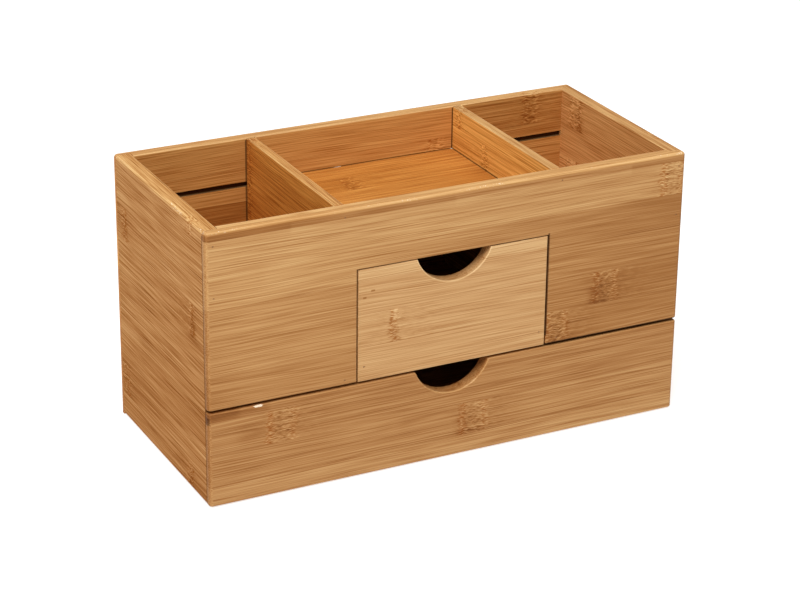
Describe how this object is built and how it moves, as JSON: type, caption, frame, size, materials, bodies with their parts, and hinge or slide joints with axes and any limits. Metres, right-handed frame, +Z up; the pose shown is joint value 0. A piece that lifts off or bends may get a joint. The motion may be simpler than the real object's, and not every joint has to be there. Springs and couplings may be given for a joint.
{
  "type": "desktop drawer organizer",
  "caption": "Bamboo desktop organizer box with open side compartments, a shallow middle tray, a small inset drawer and a full-width lower drawer with finger notches.",
  "frame": {"origin": "middle of the underside, on the surface that the organizer stands on", "axes": "+X to the viewer's right along the width, -Y to the front that the drawers come out of, +Z up"},
  "size_m": [0.33, 0.15, 0.18],
  "materials": {
    "bamboo_board": "laminated bamboo strips, sanded and clear lacquered, satin",
    "pale_bamboo": "laminated bamboo strips, paler, sanded and clear lacquered, satin",
    "thin_bamboo_board": "thin laminated bamboo board, sanded, satin",
    "pin_steel": "thin steel pin, dulled"
  },
  "bodies": {
    "carcass": {"front_panel": "bamboo_board", "back_panel": "bamboo_board", "left_side_panel": "bamboo_board", "right_side_panel": "bamboo_board", "left_divider": "bamboo_board", "right_divider": "bamboo_board", "tray_floor": "thin_bamboo_board", "deck_panel": "thin_bamboo_board", "base_panel": "thin_bamboo_board", "front_panel_pins": "pin_steel", "back_panel_pins": "pin_steel"},
    "small_drawer": {"small_drawer_front": "pale_bamboo", "small_drawer_left_side": "thin_bamboo_board", "small_drawer_right_side": "thin_bamboo_board", "small_drawer_back": "thin_bamboo_board", "small_drawer_bottom": "thin_bamboo_board", "small_drawer_front_pins": "pin_steel", "small_drawer_back_pins": "pin_steel"},
    "large_drawer": {"large_drawer_front": "bamboo_board", "large_drawer_left_side": "thin_bamboo_board", "large_drawer_right_side": "thin_bamboo_board", "large_drawer_back": "thin_bamboo_board", "large_drawer_bottom": "thin_bamboo_board", "large_drawer_back_pins": "pin_steel"}
  },
  "joints": [
    {"name": "small_drawer_slide", "type": "slide", "parent": "carcass", "child": "small_drawer", "axis": [0, -1, 0], "range_m": [0, 0.11]},
    {"name": "large_drawer_slide", "type": "slide", "parent": "carcass", "child": "large_drawer", "axis": [0, -1, 0], "range_m": [0, 0.11]}
  ]
}
